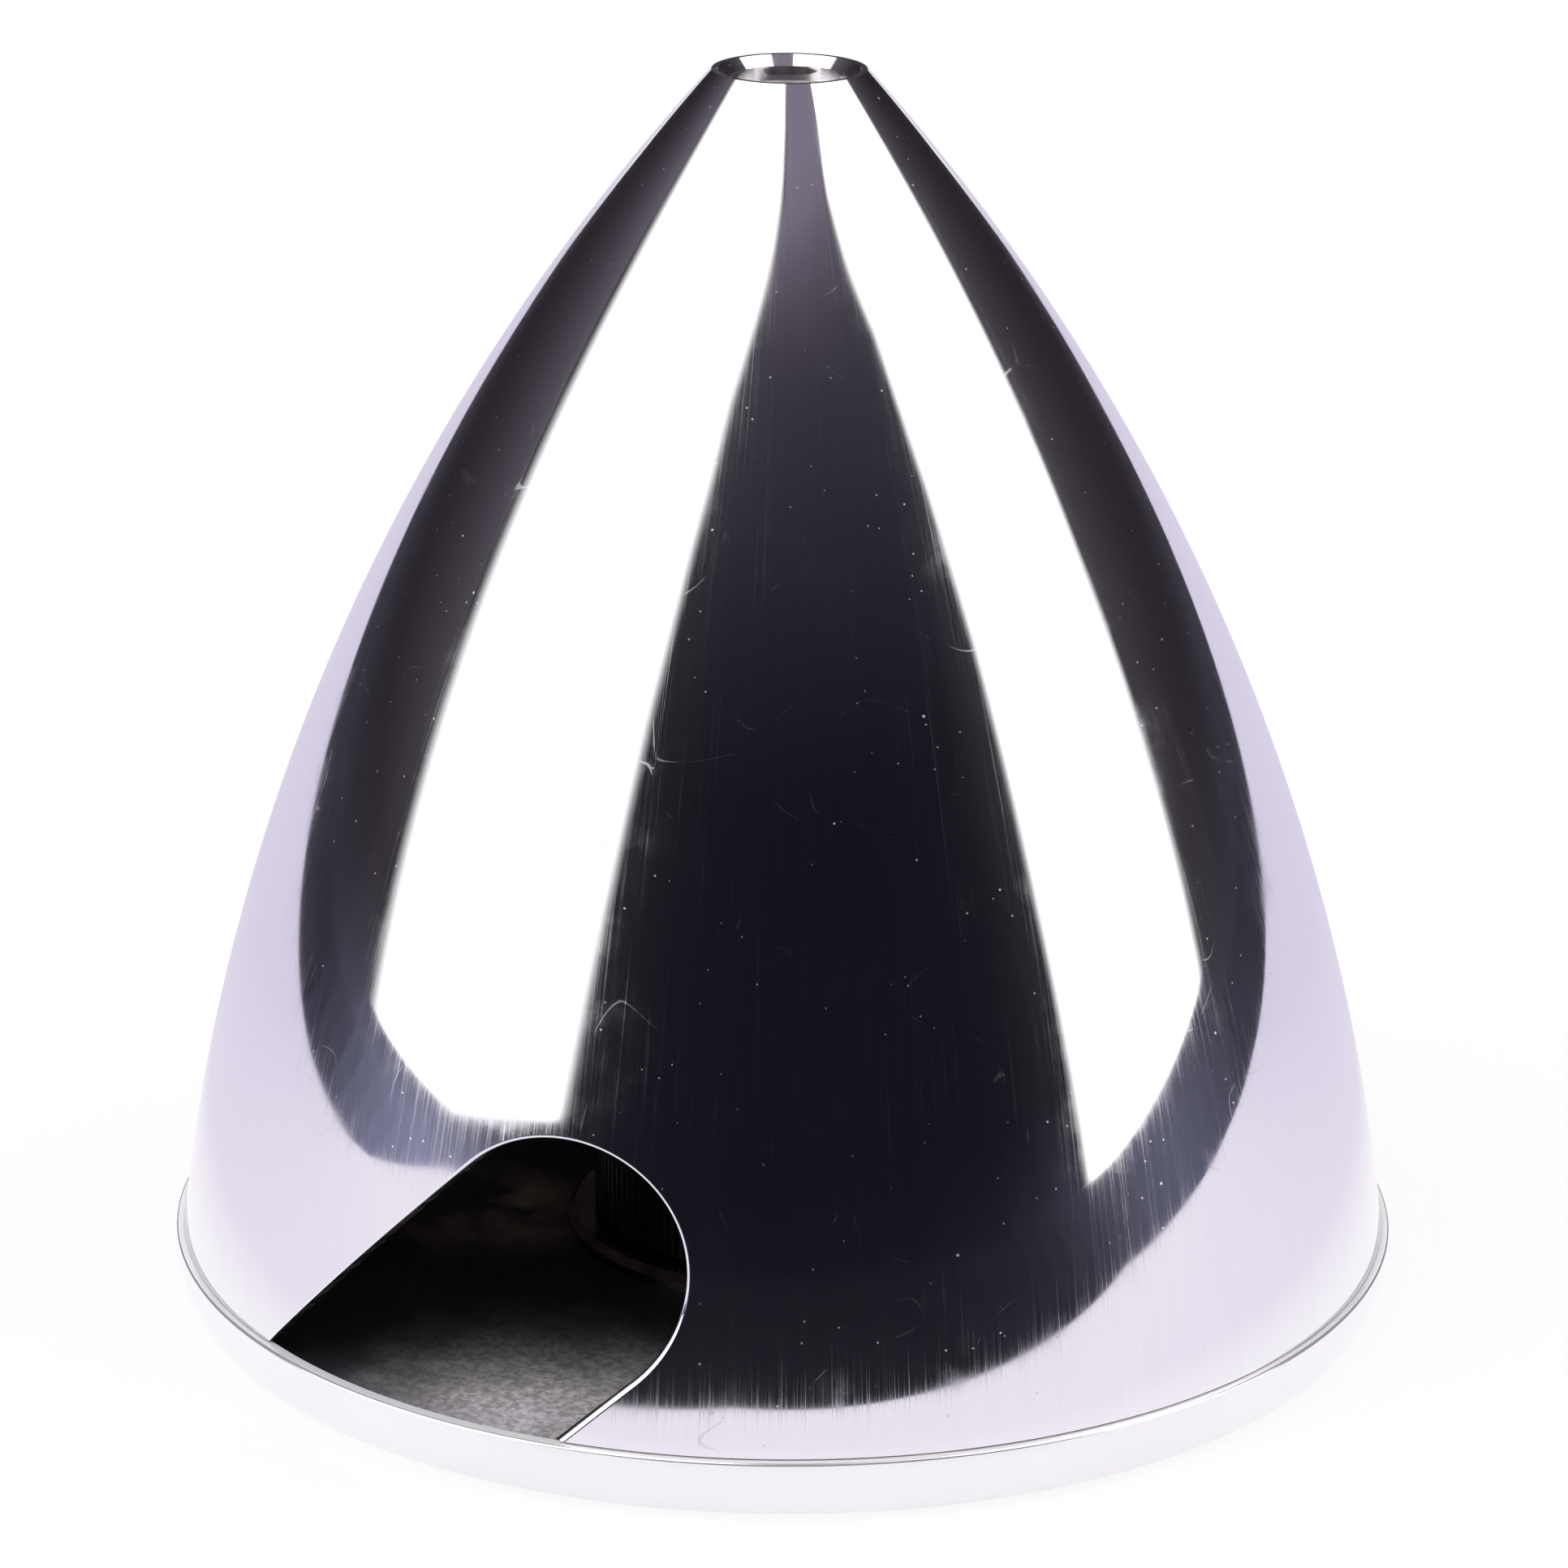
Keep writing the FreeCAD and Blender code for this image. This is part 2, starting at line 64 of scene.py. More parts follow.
# Cone
ARC_RADIUS = 134.6 * MM                             # the outside is one arc, swung about the axis
WALL = 1.2 * MM
NOSE_RIM_RADIUS = 4.6 * MM
NOSE_MOUTH_RADIUS = 4.25 * MM
NOSE_BEVEL_DEPTH = 0.6 * MM
COUNTERBORE_RADIUS = 3.65 * MM
SCREW_HEAD_HEIGHT = 4.0 * MM
SCREW_SEAT = screw_high[2] - SCREW_HEAD_HEIGHT
NOSE_THICKNESS = 4.0 * MM                           # metal under the screw's head
NOSE_FLOOR = SCREW_SEAT - NOSE_THICKNESS
SCREW_HOLE_RADIUS = 2.25 * MM
SHOULDER = 0.3 * MM
SPIGOT_GAP = 0.05 * MM                              # all round, in the backplate's recess
SPIGOT_RADIUS = FOOT_RADIUS - SHOULDER - SPIGOT_GAP
SEAM = 0.1 * MM                                     # dark line left between cone and backplate
SEAM_TOP = LEDGE + SEAM

# Blade slots, seen along Y
SLOT_RADIUS = 7.7 * MM
SLOT_LEAN = math.radians(45)
SLOT_ACROSS = 8.7 * MM
SLOT_UP = LEDGE + 9.4 * MM
SLOT_EDGE_ROUND = (0.08 * MM, 0.6 * MM)             # from the left flank's foot to the right one's
SLOT_ROUND_GROWTH = 1.4                             # the power of the way round that it grows by

# Backplate
RIM_CROWN_RADIUS = 5.0 * MM
RIM_CROWN_HEIGHT = 2.8 * MM
RIM_EDGE_ROUND = 0.15 * MM
RECESS_DEPTH = 1.0 * MM
BOSS_RADIUS = 13.5 * MM
BOSS_BEVEL = 0.45 * MM
BORE_RADIUS = 6.03 * MM
HUB_LAND_RADIUS = 15.0 * MM
REAR_RIM_WIDTH = 4.5 * MM
REAR_RELIEF = 0.8 * MM
LIT_POOL_SPOT = (5.5 * MM, -30.5 * MM)                 # middle of the painted pool of light at the front slot
BROWN_STAIN_AND_LIGHT_SPOT = (-15 * MM, -10 * MM)                   # middle of the brown stain behind it, which is also painted light


# ---------------------------------------------------------------- meshes with exact normals

class Skin:
    """Gathers faces whose corners carry their own true normals, and welds corners that meet."""

    WELD = 1e-7

    def __init__(self):
        self.places = []
        self.index = {}
        self.faces = []
        self.normals = []
        self.finishes = []

    def corner(self, place):
        key = tuple(round(number / self.WELD) for number in place)
        if key not in self.index:
            self.index[key] = len(self.places)
            self.places.append(tuple(place))
        return self.index[key]

    def face(self, corners, finish):
        """One face from (place, normal) pairs, turned so that it faces along its normals."""
        indices = [self.corner(place) for place, _ in corners]
        kept = [number for number in range(len(indices)) if indices[number] != indices[number - 1]]
        if len({indices[number] for number in kept}) < 3:
            return
        corners = [corners[number] for number in kept]
        indices = [indices[number] for number in kept]
        middle = corners[0][0]
        across = (corners[1][0] - middle).cross(corners[2][0] - middle)
        if len(corners) > 3:
            across += (corners[2][0] - middle).cross(corners[3][0] - middle)
        if across.dot(sum((normal for _, normal in corners), Vector())) < 0:
            corners.reverse()
            indices.reverse()
        self.faces.append(indices)
        self.normals.extend(normal for _, normal in corners)
        self.finishes.append(finish)

    def grid(self, rows, finish):
        """A sheet of quads between rows of (place, normal) pairs."""
        for one, other in zip(rows, rows[1:]):
            for number in range(len(one) - 1):
                self.face([one[number], one[number + 1], other[number + 1], other[number]], finish)

    def double(self):
        """Add the same faces again, half a turn round the axis."""
        corners = iter(list(self.normals))
        for face, finish in list(zip(self.faces, self.finishes)):
            pairs = []
            for number in face:
                across, depth, up = self.places[number]
                normal = next(corners)
                pairs.append((Vector((-across, -depth, up)), Vector((-normal.x, -normal.y, normal.z))))
            self.face(pairs, finish)

    def build(self, name, materials):
        mesh = bpy.data.meshes.new(name)
        mesh.from_pydata(self.places, [], self.faces)
        for material in materials:
            mesh.materials.append(material)
        mesh.polygons.foreach_set("material_index", self.finishes)
        mesh.normals_split_custom_set([tuple(normal) for normal in self.normals])
        mesh.update()
        piece = bpy.data.objects.new(name, mesh)
        bpy.context.scene.collection.objects.link(piece)
        return piece


def around(radius, angle, height):
    """A place at an angle about the axis. Angle 0 is towards -Y and grows towards +X."""
    return Vector((radius * math.sin(angle), -radius * math.cos(angle), height))


def angle_of(place):
    return math.atan2(place.x, -place.y)


def turned(radial, angle, up):
    """A direction with a radial and an upward part, at an angle about the axis."""
    return Vector((radial * math.sin(angle), -radial * math.cos(angle), up)).normalized()


class Arc:
    """A round stretch of a turned profile, between two directions from its centre."""

    def __init__(self, centre, radius, start, end, steps):
        self.centre, self.radius = centre, radius
        self.angles = [start + (end - start) * step / steps for step in range(steps + 1)]

    def points(self):
        for angle in self.angles:
            across, up = math.cos(angle), math.sin(angle)
            yield self.centre[0] + self.radius * across, self.centre[1] + self.radius * up, across, up


class Line:
    """A straight stretch of a turned profile. Its normal is on the right of the way it runs."""

    def __init__(self, start, end):
        self.start, self.end = start, end

    def points(self):
        across, up = self.end[0] - self.start[0], self.end[1] - self.start[1]
        length = math.hypot(across, up)
        for share in (0, 1):
            yield (self.start[0] + across * share, self.start[1] + up * share,
                   up / length, -across / length)


def lathe(skin, stretch, angles, finish):
    """Swing one stretch of profile through the given angles about the axis."""
    rows = [[(around(radius, angle, height), turned(across, angle, up)) for angle in angles]
            for radius, height, across, up in stretch.points()]
    skin.grid(rows, finish)


TURN = 360                                          # columns in a full turn
FULL_TURN = [math.tau * step / TURN for step in range(TURN + 1)]


# ---------------------------------------------------------------- cone

def arc_through(foot, rim, radius):
    """Centre of the arc through two profile points, on the axis side."""
    chord = (rim[0] - foot[0], rim[1] - foot[1])
    length = math.hypot(*chord)
    reach = math.sqrt(radius ** 2 - length ** 2 / 4)
    return ((foot[0] + rim[0]) / 2 - chord[1] / length * reach,
            (foot[1] + rim[1]) / 2 + chord[0] / length * reach)


ARC_CENTRE = arc_through((FOOT_RADIUS, LEDGE), (NOSE_RIM_RADIUS, NOSE_TOP), ARC_RADIUS)


def skin_radius(height, arc_radius=ARC_RADIUS):
    """How far the outside is from the axis, or a skin below it that shares its centre."""
    return ARC_CENTRE[0] + math.sqrt(arc_radius ** 2 - (height - ARC_CENTRE[1]) ** 2)


def skin_point(angle, height):
    """Place and outward normal on the outside of the cone."""
    up = (height - ARC_CENTRE[1]) / ARC_RADIUS
    return around(skin_radius(height), angle, height), turned(math.sqrt(1 - up * up), angle, up)


TAPERS = 4                                          # the inside is bored to this many tapers
TAPER_HEIGHTS = [LEDGE + (NOSE_FLOOR - LEDGE) * step / TAPERS for step in range(TAPERS + 1)]
TAPER_RADII = [skin_radius(height, ARC_RADIUS - WALL) for height in TAPER_HEIGHTS]


def inside_point(angle, height):
    """Place and normal on the bored inside of the cone."""
    step = min(int((height - LEDGE) / (TAPER_HEIGHTS[1] - LEDGE)), TAPERS - 1)
    rise = TAPER_HEIGHTS[step + 1] - TAPER_HEIGHTS[step]
    narrowing = TAPER_RADII[step] - TAPER_RADII[step + 1]
    radius = TAPER_RADII[step] - narrowing * (height - TAPER_HEIGHTS[step]) / rise
    return around(radius, angle, height), turned(-rise, angle, -narrowing)


def flank_across(side, up):
    """Where a flank of the slot is, sideways, at a height. Side 1 is the upper left flank."""
    from_end = SLOT_UP + side * SLOT_RADIUS * math.sin(SLOT_LEAN) - up
    return SLOT_ACROSS - side * SLOT_RADIUS * math.cos(SLOT_LEAN) - from_end * math.tan(SLOT_LEAN)


def flank_normal(side):
    """The way a flank of the slot faces, into the slot."""
    return Vector((side * math.cos(SLOT_LEAN), 0, -side * math.sin(SLOT_LEAN)))


def slot_outline():
    """The slot's outline seen along Y, as (across, up, normal): up the left flank, round the end
    and down the right flank to below the seam. The normals point into the slot."""
    flank_steps, end_steps, below = 60, 96, 2 * MM
    outline = []
    for side in (1, -1):
        top = SLOT_UP + side * SLOT_RADIUS * math.sin(SLOT_LEAN)
        bottom = SEAM_TOP - below
        heights = [bottom + (top - bottom) * step / flank_steps for step in range(flank_steps)]
        flank = [(flank_across(side, up), up, flank_normal(side)) for up in heights]
        outline.append(flank if side == 1 else flank[::-1])
    bend = []
    for step in range(end_steps + 1):
        angle = SLOT_LEAN + math.pi / 2 - math.pi * step / end_steps
        outward = Vector((math.cos(angle), 0, math.sin(angle)))
        bend.append((SLOT_ACROSS + SLOT_RADIUS * outward.x, SLOT_UP + SLOT_RADIUS * outward.z, -outward))
    return outline[0] + bend + outline[1]


def slot_row(across, up, wall_normal, rounding):
    """From the polished skin, round the slot's edge like a ball rolled along it, and through the
    wall to the inside."""
    bends = 6
    edge, skin_normal = skin_point(math.asin(across / skin_radius(up)), up)
    reach = rounding / (1 + skin_normal.dot(wall_normal))
    centre = edge - (skin_normal + wall_normal) * reach
    row = []
    for step in range(bends + 1):
        normal = skin_normal.slerp(wall_normal, step / bends)
        row.append((centre + normal * rounding, normal))
    contact = row[0][0]
    row[0] = skin_point(angle_of(contact), contact.z)
    start = row[-1][0]
    bore = inside_point(0, max(start.z, LEDGE))[0].xy.length_squared
    row.append((Vector((start.x, -math.sqrt(bore - start.x ** 2), start.z)), wall_normal))
    return row


def slot_rows():
    """The rows round the slot, with the first and last one cut off level with the seam."""
    outline = slot_outline()
    least, most = SLOT_EDGE_ROUND
    rows = []
    for number, stop in enumerate(outline):
        share = number / (len(outline) - 1)
        rows.append(slot_row(*stop, least + (most - least) * share ** SLOT_ROUND_GROWTH))
    clear = [number for number, row in enumerate(rows)
             if min(place.z for place, _ in row) > SEAM_TOP + most]
    first, last = clear[0], clear[-1]

    def level(row_numbers):
        """Where the rows, taken downwards, cross the seam's height."""
        cut = []
        for column in range(len(rows[0])):
            for above, below in zip(row_numbers, row_numbers[1:]):
                high, low = rows[above][column], rows[below][column]
                if low[0].z <= SEAM_TOP < high[0].z:
                    share = (SEAM_TOP - low[0].z) / (high[0].z - low[0].z)
                    place = low[0].lerp(high[0], share)
                    place.z = SEAM_TOP
                    cut.append((place, high[1]))
                    break
        return cut

    return [level(range(first, -1, -1)), *rows[first:last + 1], level(range(last, len(rows)))]


QUARTER = math.pi / 2
COLUMNS = 180                                       # in half a turn
HALF_TURN = [-QUARTER + math.pi * step / COLUMNS for step in range(COLUMNS + 1)]
PIERCED_TOP = TAPER_HEIGHTS[2]                      # above this nothing cuts the cone


def pierced_sheet(skin, surface, rim, finish):
    """Half a turn of the cone, from the seam up to PIERCED_TOP, less what lies inside the rim: a
    row of (place, normal) pairs that starts and ends on the seam."""
    flat = FOOT_RADIUS / MM                         # lengths on the unrolled sheet are in mm
    clearance, merging = 0.3, 1e-6
    steps = 40
    heights = [LEDGE + (PIERCED_TOP - LEDGE) * step / steps for step in range(steps + 1)]
    heights[0] = SEAM_TOP
    left, right = angle_of(rim[0][0]), angle_of(rim[-1][0])

    def unroll(angle, height):
        return Vector((angle * flat, height / MM))

    edge = [unroll(angle_of(place), place.z) for place, _ in rim]
    corners = list(zip(edge, rim))
    for row, height in enumerate(heights):
        for angle in HALF_TURN:
            spot = unroll(angle, height)
            if row == 0 and left < angle < right:
                continue
            if inside_loop(spot, edge) or near_line(spot, edge, clearance):
                continue
            corners.append((spot, surface(angle, height)))
    spots = [spot for spot, _ in corners]
    bars = [(number, number + 1) for number in range(len(edge) - 1)]
    whole = 0                                       # delaunay's mode that keeps every triangle
    meshed, _, triangles, origins, *_ = delaunay_2d_cdt(spots, bars, [], whole, merging)
    for triangle in triangles:
        middle = sum((meshed[number] for number in triangle), Vector((0, 0))) / 3
        if not inside_loop(middle, edge):
            skin.face([corners[origins[number][0]][1] for number in triangle], finish)


def inside_loop(spot, loop):
    """Whether a spot is inside a closed loop of flat points."""
    inside = False
    for number in range(len(loop)):
        one, other = loop[number - 1], loop[number]
        if (one.y > spot.y) != (other.y > spot.y):
            if spot.x < one.x + (other.x - one.x) * (spot.y - one.y) / (other.y - one.y):
                inside = not inside
    return inside


def near_line(spot, line, distance):
    return any((spot - point).length_squared < distance * distance for point in line)


def on_flank(side, radius, height):
    """Where a circle about the axis meets a flank of the slot."""
    across = flank_across(side, height)
    return Vector((across, -math.sqrt(radius ** 2 - across ** 2), height))


def slotted_ring(skin, side, start, end, finish):
    """The stretch between two places on a flank of the slot, swung away from the slot through
    what is left of the half turn."""
    across, up = end.xy.length - start.xy.length, end.z - start.z
    steps = 60
    rows = []
    for place in (start, end):
        limit = angle_of(place)
        angles = [limit + (-side * QUARTER - limit) * step / steps for step in range(steps + 1)]
        rows.append([(around(place.xy.length, angle, place.z), turned(up, angle, -across))
                     for angle in angles])
    skin.grid(rows, finish)


POLISHED, DULL, WALL_FINISH = 0, 1, 2               # places in the cone's list of materials


def make_cone(materials):
    """The cone: half a turn with one slot, made twice, and the plain rings above it."""
    skin = Skin()
    rows = slot_rows()
    skin.grid([row[:-1] for row in rows], POLISHED)
    skin.grid([row[-2:] for row in rows], WALL_FINISH)
    pierced_sheet(skin, skin_point, [row[0] for row in rows], POLISHED)
    pierced_sheet(skin, inside_point, [row[-1] for row in rows], DULL)

    # Under the seam: the spigot that drops into the backplate's recess, and the shoulder.
    bore = inside_point(0, SEAM_TOP)[0].xy.length
    lip = [(bore, SEAM_TOP), (TAPER_RADII[0], LEDGE), (TAPER_RADII[0], SPIGOT_BOTTOM),
           (SPIGOT_RADIUS, SPIGOT_BOTTOM), (SPIGOT_RADIUS, SEAM_TOP)]
    for side, row in ((1, rows[0]), (-1, rows[-1])):
        places = [on_flank(side, *corner) for corner in lip]
        skin.face([(place, flank_normal(side)) for place in places], WALL_FINISH)
        for start, end in zip(places, places[1:] + [row[0][0]]):
            slotted_ring(skin, side, start, end, DULL)
        shoulder = [places[-1]] + [place for place, _ in row[:-1]]
        skin.face([(place, Vector((0, 0, -1))) for place in shoulder], DULL)
    skin.double()

    steps = 60
    heights = [PIERCED_TOP + (NOSE_TOP - PIERCED_TOP) * step / steps for step in range(steps + 1)]
    skin.grid([[skin_point(angle, height) for angle in FULL_TURN] for height in heights], POLISHED)
    nose = [(NOSE_RIM_RADIUS, NOSE_TOP), (NOSE_MOUTH_RADIUS, NOSE_TOP),
            (COUNTERBORE_RADIUS, NOSE_TOP - NOSE_BEVEL_DEPTH), (COUNTERBORE_RADIUS, SCREW_SEAT),
            (SCREW_HOLE_RADIUS, SCREW_SEAT), (SCREW_HOLE_RADIUS, NOSE_FLOOR)]
    nose += list(zip(TAPER_RADII, TAPER_HEIGHTS))[:1:-1]        # down to PIERCED_TOP
    for start, end in zip(nose, nose[1:]):
        lathe(skin, Line(start, end), FULL_TURN, POLISHED if end[1] >= SCREW_SEAT else DULL)
    return skin.build("polished_cone", materials)


# ---------------------------------------------------------------- backplate

BRIGHT, BLASTED, SHADED_BOSS, LEDGE_FACE = 0, 1, 2, 3     # places in its list of materials


def rim_arcs():
    """The crowned outside of the rim between its two rounded corners, from the bottom up."""
    corner_steps, crown_steps = 8, 12
    crown = (RIM_RADIUS - RIM_CROWN_RADIUS, RIM_CROWN_HEIGHT)
    inset = RIM_CROWN_RADIUS - RIM_EDGE_ROUND
    corners = []
    for height in (RIM_EDGE_ROUND, LEDGE - RIM_EDGE_ROUND):
        rise = height - crown[1]
        across = crown[0] + math.sqrt(inset ** 2 - rise ** 2)
        corners.append(((across, height), math.asin(rise / inset)))
    (lower, leave), (upper, meet) = corners
    return [Arc(lower, RIM_EDGE_ROUND, -math.pi / 2, leave, corner_steps),
            Arc(crown, RIM_CROWN_RADIUS, leave, meet, crown_steps),
            Arc(upper, RIM_EDGE_ROUND, meet, math.pi / 2, corner_steps)]


def make_backplate(materials):
    """The turned plate: crowned rim, ledge, blasted recess, boss, bore and relieved rear."""
    skin = Skin()
    rim = rim_arcs()
    for arc in rim:
        lathe(skin, arc, FULL_TURN, BRIGHT)
    recess = FOOT_RADIUS - SHOULDER
    floor = LEDGE - RECESS_DEPTH
    rear_rim = RIM_RADIUS - REAR_RIM_WIDTH
    corners = [(rim[-1].centre[0], LEDGE), (recess, LEDGE), (recess, floor), (BOSS_RADIUS, floor),
               (BOSS_RADIUS, LEDGE - BOSS_BEVEL), (BOSS_RADIUS - BOSS_BEVEL, LEDGE), (BORE_RADIUS, LEDGE),
               (BORE_RADIUS, 0), (HUB_LAND_RADIUS, 0), (HUB_LAND_RADIUS, REAR_RELIEF),
               (rear_rim, REAR_RELIEF), (rear_rim, 0), (rim[0].centre[0], 0)]
    for start, end in zip(corners, corners[1:]):
        if start[1] == floor and end[1] == floor:
            finish = BLASTED
        elif start[0] > end[0] == recess:
            finish = LEDGE_FACE
        elif start[0] <= BOSS_RADIUS and end[1] > 0:
            finish = SHADED_BOSS
        else:
            finish = BRIGHT
        lathe(skin, Line(start, end), FULL_TURN, finish)
    return skin.build("crowned_backplate", materials)


# ---------------------------------------------------------------- materials

class Surface:
    """A metal whose nodes are added one call at a time."""

    def __init__(self, name, colour, roughness):
        self.material = bpy.data.materials.new(name)
        self.material.use_nodes = True
        self.nodes = self.material.node_tree.nodes
        self.links = self.material.node_tree.links
        self.shader = self.nodes["Principled BSDF"]
        self.shader.inputs["Metallic"].default_value = 1.0
        self.shader.inputs["Base Color"].default_value = (*colour, 1)
        self.shader.inputs["Roughness"].default_value = roughness
        self.place = self.nodes.new("ShaderNodeTexCoord").outputs["Object"]

    def link(self, source, target):
        if isinstance(source, (int, float)):
            target.default_value = source
        else:
            self.links.new(source, target)

    def maths(self, operation, *values):
        node = self.nodes.new("ShaderNodeMath")
        node.operation = operation
        for value, socket in zip(values, node.inputs):
            self.link(value, socket)
        return node.outputs[0]

    def along(self, around_scale, up_scale):
        """A place whose first two numbers run round the axis and whose third runs up it."""
        parts = self.nodes.new("ShaderNodeSeparateXYZ")
        self.link(self.place, parts.inputs[0])
        radius = self.distance()
        joined = self.nodes.new("ShaderNodeCombineXYZ")
        for axis in range(2):
            share = self.maths("DIVIDE", parts.outputs[axis], radius)
            self.link(self.maths("MULTIPLY", share, around_scale), joined.inputs[axis])
        self.link(self.maths("MULTIPLY", parts.outputs[2], up_scale), joined.inputs[2])
        return joined.outputs[0]

    def distance(self, centre=(0, 0)):
        """How far from the axis, or from a line beside it."""
        aside = self.nodes.new("ShaderNodeVectorMath")
        aside.operation = "SUBTRACT"
        self.link(self.place, aside.inputs[0])
        aside.inputs[1].default_value = (*centre, 0)
        level = self.nodes.new("ShaderNodeVectorMath")
        level.operation = "MULTIPLY"
        self.link(aside.outputs[0], level.inputs[0])
        level.inputs[1].default_value = (1, 1, 0)
        length = self.nodes.new("ShaderNodeVectorMath")
        length.operation = "LENGTH"
        self.link(level.outputs[0], length.inputs[0])
        return length.outputs["Value"]

    def noise(self, place, scale=1.0, detail=2.0, roughness=0.5):
        node = self.nodes.new("ShaderNodeTexNoise")
        self.link(place, node.inputs["Vector"])
        node.inputs["Scale"].default_value = scale
        node.inputs["Detail"].default_value = detail
        node.inputs["Roughness"].default_value = roughness
        return node.outputs["Fac"]

    def ramp(self, value, start, end, low=0.0, high=1.0):
        """The value stretched from start..end to low..high, and held there."""
        node = self.nodes.new("ShaderNodeMapRange")
        self.link(value, node.inputs["Value"])
        for name, number in zip(("From Min", "From Max", "To Min", "To Max"), (start, end, low, high)):
            node.inputs[name].default_value = number
        return node.outputs[0]

    def specks(self, size, reach):
        """1 inside small scattered dots, 0 elsewhere. Reach is the dot's share of its cell."""
        node = self.nodes.new("ShaderNodeTexVoronoi")
        self.link(self.place, node.inputs["Vector"])
        node.inputs["Scale"].default_value = 1 / size
        return self.ramp(node.outputs["Distance"], reach, reach * 0.5)

    def tint(self, value, low, high):
        """A colour between two, by a value from 0 to 1, as the base colour."""
        node = self.nodes.new("ShaderNodeMix")
        node.data_type = "RGBA"
        self.link(value, node.inputs["Factor"])
        node.inputs["A"].default_value = (*low, 1)
        node.inputs["B"].default_value = (*high, 1)
        self.link(node.outputs["Result"], self.shader.inputs["Base Color"])

    def stain(self, value, colour):
        """The base colour turned to another, by a value from 0 to 1."""
        base = self.shader.inputs["Base Color"]
        node = self.nodes.new("ShaderNodeMix")
        node.data_type = "RGBA"
        self.link(value, node.inputs["Factor"])
        self.link(base.links[0].from_socket, node.inputs["A"])
        node.inputs["B"].default_value = (*colour, 1)
        self.link(node.outputs["Result"], base)

    def by_slots(self, spot):
        """How far from a spot beside the front slot, or from its twin beside the rear one."""
        front = self.distance(spot)
        rear = self.distance((-spot[0], -spot[1]))
        return self.maths("MINIMUM", front, rear)

    def roughen(self, value):
        self.link(value, self.shader.inputs["Roughness"])

    def bump(self, value, depth):
        node = self.nodes.new("ShaderNodeBump")
        self.link(value, node.inputs["Height"])
        node.inputs["Distance"].default_value = depth
        self.link(node.outputs["Normal"], self.shader.inputs["Normal"])


def polished_aluminium():
    """Buffed up and down, so it carries faint streaks along its length, with nicks and hairlines."""
    metal = Surface("polished_aluminium_look", (0.93, 0.925, 0.95), 0.05)
    fine = metal.noise(metal.along(900, 110), detail=2)
    medium = metal.noise(metal.along(170, 40), detail=3)
    streaks = metal.maths("MULTIPLY", metal.ramp(fine, 0.5, 0.74, 0.0, 0.15),
                          metal.ramp(medium, 0.36, 0.66, 0.15, 1.0))

    patch = metal.noise(metal.place, scale=75, detail=4, roughness=0.6)
    smudge = metal.noise(metal.place, scale=210, detail=5, roughness=0.65)
    haze = metal.maths("ADD", metal.ramp(patch, 0.4, 0.7, 0.03, 0.08),
                       metal.ramp(smudge, 0.54, 0.72, 0.0, 0.06))

    nicks = metal.specks(3.0 * MM, 0.036)
    dust = metal.maths("MULTIPLY", metal.specks(1.1 * MM, 0.07), 0.6)
    spots = metal.maths("MULTIPLY", metal.maths("MAXIMUM", nicks, dust), 0.5)

    # Hairlines run where a wide noise passes its middle, and a short one breaks them up.
    wide = metal.noise(metal.place, scale=160, detail=0)
    short = metal.noise(metal.place, scale=420, detail=1)
    middle = metal.maths("ABSOLUTE", metal.maths("SUBTRACT", wide, 0.5))
    hairs = metal.maths("MULTIPLY", metal.ramp(middle, 0.0024, 0.0012, 0.0, 0.12),
                        metal.ramp(short, 0.54, 0.6))

    metal.roughen(metal.maths("ADD", metal.maths("ADD", streaks, haze), metal.maths("ADD", spots, hairs)))
    metal.tint(medium, (0.90, 0.895, 0.925), (0.95, 0.945, 0.965))
    metal.shader.inputs["Coat Weight"].default_value = 0.4      # the haze of its finest scratches
    metal.shader.inputs["Coat Roughness"].default_value = 0.32
    return metal.material


def turned_inside():
    """The bored inside: fine rings from the boring tool, dulled and brownish."""
    metal = Surface("bored_inside_look", (0.3, 0.26, 0.24), 0.42)
    metal.shader.inputs["Metallic"].default_value = 0.75
    rings = metal.noise(metal.along(0.5, 2600), detail=1)
    blotches = metal.noise(metal.place, scale=110, detail=3)
    metal.tint(metal.ramp(blotches, 0.38, 0.66), (0.3, 0.26, 0.25), (0.85, 0.72, 0.68))
    metal.roughen(metal.ramp(rings, 0.3, 0.7, 0.34, 0.5))
    metal.bump(rings, 0.01 * MM)
    return metal.material


def shaded_boss():
    """The hub's boss and bore: turned smooth, and darkened as painted shade."""
    metal = Surface("shaded_boss_look", (0.4, 0.36, 0.34), 0.16)
    rings = metal.noise(metal.along(0.8, 3000), detail=2)
    stains = metal.noise(metal.place, scale=160, detail=3)
    # The dark base colour is painted shade for the boss's place under the cone; its blotches vary at
    # random.
    metal.tint(metal.ramp(stains, 0.35, 0.7), (0.2, 0.17, 0.16), (0.5, 0.46, 0.44))
    metal.roughen(metal.ramp(rings, 0.3, 0.7, 0.12, 0.22))
    return metal.material


def milled_wall():
    """The wall of the blade slots, as the cutter left it."""
    metal = Surface("milled_wall_look", (0.7, 0.68, 0.69), 0.22)
    marks = metal.noise(metal.along(60, 1500), detail=2)
    metal.roughen(metal.ramp(marks, 0.3, 0.7, 0.16, 0.34))
    metal.bump(marks, 0.004 * MM)
    return metal.material


